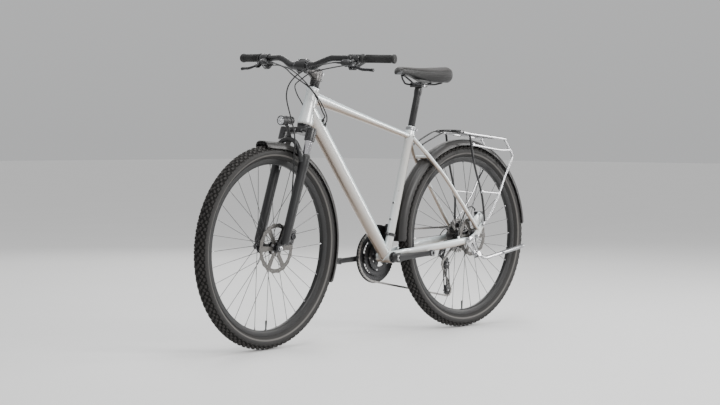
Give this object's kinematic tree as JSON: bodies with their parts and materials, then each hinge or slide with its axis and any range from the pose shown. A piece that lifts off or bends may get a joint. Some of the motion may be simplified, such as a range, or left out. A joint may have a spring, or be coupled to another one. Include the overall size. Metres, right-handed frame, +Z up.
{
  "type": "hybrid bicycle",
  "caption": "Upright city and trekking bicycle with a suspension fork, disc brakes, mudguards, rear rack and kickstand; it steers, rolls, pedals and shifts.",
  "frame": {"origin": "on the ground, at the middle of the bike's footprint", "axes": "+X forward, +Y to the rider's left, +Z up"},
  "size_m": [1.8055, 0.7282, 1.0726],
  "materials": {
    "pearl_paint": "pearl silver white paint under clear coat",
    "black_paint": "satin black coating",
    "silver_alloy": "satin bare alloy",
    "brushed_steel": "bare steel with a fine grain",
    "black_rubber": "matt moulded rubber",
    "tyre_rubber": "matt tyre rubber with a lighter side wall",
    "black_plastic": "moulded black plastic",
    "black_vinyl": "fine grained black cover with stitching"
  },
  "bodies": {
    "bike": {"frame": "pearl_paint", "seat_clamp": "silver_alloy", "bottom_bracket": "brushed_steel", "headset_lower": "black_paint", "rear_fender": "black_plastic", "rear_rack": "silver_alloy", "kickstand_bracket": "silver_alloy", "front_derailleur_clamp": "brushed_steel", "rear_derailleur_hanger": "black_paint", "rear_brake_caliper": "silver_alloy", "chain": "brushed_steel", "rear_axle": "brushed_steel", "rear_brake_hose": "black_rubber", "rear_shift_cable": "black_rubber", "front_shift_cable": "black_rubber"},
    "steering": {"fork_upper": "black_paint", "headset_spacers": "black_paint", "stem": "black_paint", "stem_faceplate": "black_paint", "handlebar": "black_paint", "grip_left": "black_rubber", "grip_right": "black_rubber", "control_left": "black_paint", "control_right": "black_paint"},
    "fork_lowers": {"fork_lowers": "black_paint", "front_fender": "black_plastic", "headlight": "black_plastic", "front_brake_caliper": "black_paint", "front_axle": "brushed_steel", "front_brake_hose": "black_rubber"},
    "front_wheel": {"front_tyre": "tyre_rubber", "front_rim": "black_paint", "front_spokes_left": "brushed_steel", "front_spokes_right": "brushed_steel", "front_hub": "black_paint", "front_brake_rotor": "brushed_steel"},
    "rear_wheel": {"rear_tyre": "tyre_rubber", "rear_rim": "black_paint", "rear_spokes_left": "brushed_steel", "rear_spokes_right": "brushed_steel", "rear_hub": "black_paint", "rear_brake_rotor": "brushed_steel"},
    "cassette": {"cassette": "brushed_steel"},
    "crankset": {"crank_right": "black_paint", "crank_left": "black_paint", "chainring_set": "brushed_steel"},
    "front_derailleur": {"front_derailleur_cage": "brushed_steel"},
    "rear_derailleur_link": {"rear_derailleur_link": "black_paint"},
    "rear_derailleur_knuckle": {"rear_derailleur_knuckle": "black_paint"},
    "rear_derailleur_cage": {"rear_derailleur_cage": "black_paint"},
    "guide_pulley": {"guide_pulley": "black_plastic"},
    "tension_pulley": {"tension_pulley": "black_plastic"},
    "brake_lever_left": {"brake_lever_left": "silver_alloy"},
    "brake_lever_right": {"brake_lever_right": "silver_alloy"},
    "shift_lever_left": {"shift_lever_left": "black_plastic"},
    "shift_lever_right": {"shift_lever_right": "black_plastic"},
    "kickstand": {"kickstand_leg": "silver_alloy"},
    "seatpost": {"seatpost": "black_paint"},
    "saddle": {"saddle": "black_vinyl", "saddle_rails": "brushed_steel"}
  },
  "joints": [
    {"name": "steering_turn", "type": "hinge", "parent": "bike", "child": "steering", "pos_m": [0.50602, 0, 0.35244], "axis": [-0.314, 0, 0.9494], "range_deg": [-65.75, 54.25], "deforming": ["rear_brake_hose", "rear_shift_cable", "front_shift_cable"]},
    {"name": "fork_travel", "type": "slide", "parent": "steering", "child": "fork_lowers", "axis": [-0.314, 0, 0.9494], "range_m": [0, 0.05], "stiffness_N_per_m": 8000, "springref_m": -0.02, "deforming": ["front_brake_hose"]},
    {"name": "front_wheel_spin", "type": "hinge", "parent": "fork_lowers", "child": "front_wheel", "pos_m": [0.54381, 0.00401, 0.36494], "axis": [-0.0951, 0.995, -0.0315], "continuous": true},
    {"name": "rear_wheel_spin", "type": "hinge", "parent": "bike", "child": "rear_wheel", "pos_m": [-0.527, 0, 0.365], "axis": [0, 1, 0], "continuous": true},
    {"name": "crank_spin", "type": "hinge", "parent": "bike", "child": "crankset", "pos_m": [-0.079, 0, 0.3005], "axis": [0, 1, 0], "continuous": true},
    {"name": "cassette_spin", "type": "hinge", "parent": "bike", "child": "cassette", "pos_m": [-0.527, 0, 0.365], "axis": [0, 1, 0], "continuous": true},
    {"name": "front_derailleur_shift", "type": "slide", "parent": "bike", "child": "front_derailleur", "axis": [0, 1, 0], "range_m": [0, 0.015], "deforming": ["chain"]},
    {"name": "rear_derailleur_swing", "type": "hinge", "parent": "bike", "child": "rear_derailleur_link", "pos_m": [-0.524, -0.093, 0.3235], "axis": [0.86, 0, 0.5103], "range_deg": [-9, 24], "deforming": ["chain"]},
    {"name": "rear_derailleur_level", "type": "hinge", "parent": "rear_derailleur_link", "child": "rear_derailleur_knuckle", "pos_m": [-0.497, -0.087, 0.278], "axis": [0.86, 0, 0.5103], "range_deg": [-24, 9], "deforming": ["chain"]},
    {"name": "rear_derailleur_cage_swing", "type": "hinge", "parent": "rear_derailleur_knuckle", "child": "rear_derailleur_cage", "pos_m": [-0.497, -0.0568, 0.268], "axis": [0, 1, 0], "range_deg": [-20, 30], "stiffness_Nm_per_rad": 1.2, "deforming": ["chain"]},
    {"name": "guide_pulley_spin", "type": "hinge", "parent": "rear_derailleur_cage", "child": "guide_pulley", "pos_m": [-0.484, -0.0485, 0.25], "axis": [0, 1, 0], "continuous": true},
    {"name": "tension_pulley_spin", "type": "hinge", "parent": "rear_derailleur_cage", "child": "tension_pulley", "pos_m": [-0.491, -0.0485, 0.145], "axis": [0, 1, 0], "continuous": true},
    {"name": "brake_lever_left_pull", "type": "hinge", "parent": "steering", "child": "brake_lever_left", "pos_m": [0.34579, 0.23581, 1.00767], "axis": [0.6372, 0.264, 0.7241], "range_deg": [0, 18], "stiffness_Nm_per_rad": 1},
    {"name": "brake_lever_right_pull", "type": "hinge", "parent": "steering", "child": "brake_lever_right", "pos_m": [0.3894, -0.22038, 1.02209], "axis": [-0.6713, 0.0927, -0.7354], "range_deg": [0, 18], "stiffness_Nm_per_rad": 1},
    {"name": "shift_lever_left_push", "type": "hinge", "parent": "steering", "child": "shift_lever_left", "pos_m": [0.31026, 0.20407, 1.00354], "axis": [-0.6372, -0.264, -0.7241], "range_deg": [0, 30], "stiffness_Nm_per_rad": 0.5},
    {"name": "shift_lever_right_push", "type": "hinge", "parent": "steering", "child": "shift_lever_right", "pos_m": [0.34854, -0.19627, 1.0162], "axis": [0.6713, -0.0927, 0.7354], "range_deg": [0, 30], "stiffness_Nm_per_rad": 0.5},
    {"name": "kickstand_fold", "type": "hinge", "parent": "bike", "child": "kickstand", "pos_m": [-0.515, 0.0945, 0.296], "axis": [-0.02, -0.954, -0.299], "range_deg": [0, 88]},
    {"name": "seatpost_height", "type": "slide", "parent": "bike", "child": "seatpost", "axis": [-0.2706, 0, 0.9627], "range_m": [-0.125, 0.04]},
    {"name": "saddle_setback", "type": "slide", "parent": "seatpost", "child": "saddle", "axis": [1, 0, 0], "range_m": [-0.015, 0.015]}
  ],
  "couplings": [
    {"joint": "cassette_spin", "follows": "crank_spin", "ratio": 2.8235},
    {"joint": "guide_pulley_spin", "follows": "crank_spin", "ratio": -4.3636},
    {"joint": "tension_pulley_spin", "follows": "crank_spin", "ratio": 4.3636},
    {"joint": "rear_derailleur_level", "follows": "rear_derailleur_swing", "ratio": -1}
  ]
}
